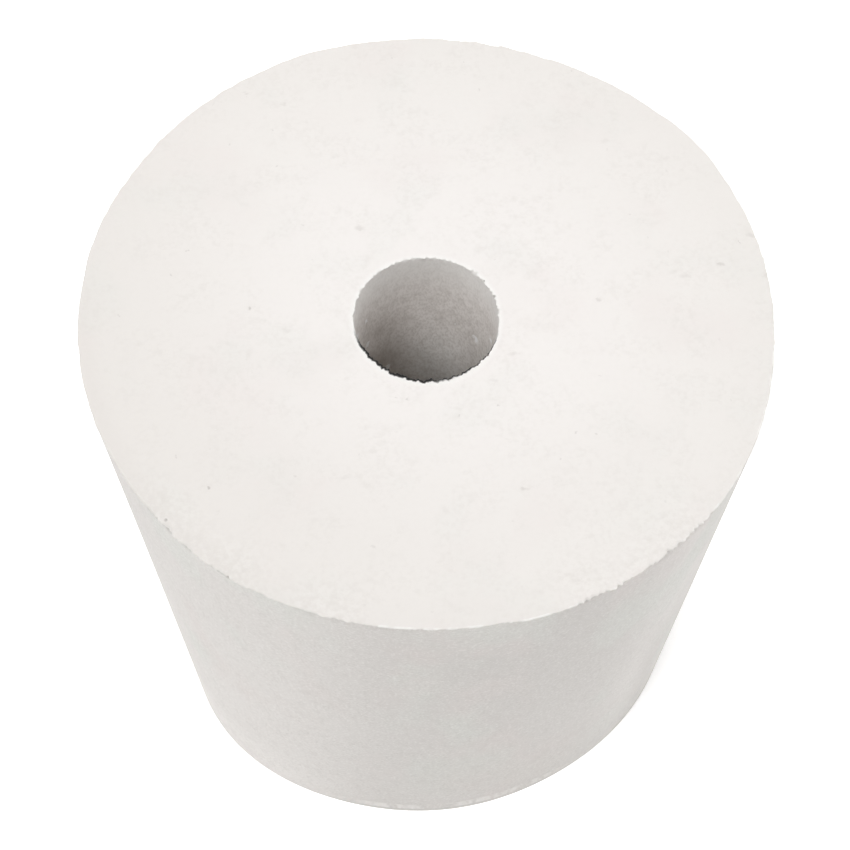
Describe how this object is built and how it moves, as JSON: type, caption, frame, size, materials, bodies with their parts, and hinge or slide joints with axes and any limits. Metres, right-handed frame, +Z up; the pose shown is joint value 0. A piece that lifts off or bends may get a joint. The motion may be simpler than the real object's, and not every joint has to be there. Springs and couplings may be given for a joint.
{
  "type": "rubber stopper",
  "caption": "Solid tapered bung of white rubber with flat ends and a straight round hole from end to end, standing on its small end.",
  "frame": {"origin": "centre of the small end's flat face, on the axis of the hole", "axes": "+Z up along the hole's axis, from the small end to the big end; the body is the same all round, so X and Y are free"},
  "size_m": [0.033, 0.033, 0.0275],
  "materials": {
    "rubber": "matte"
  },
  "bodies": {
    "root": {"stopper": "rubber"}
  },
  "joints": []
}
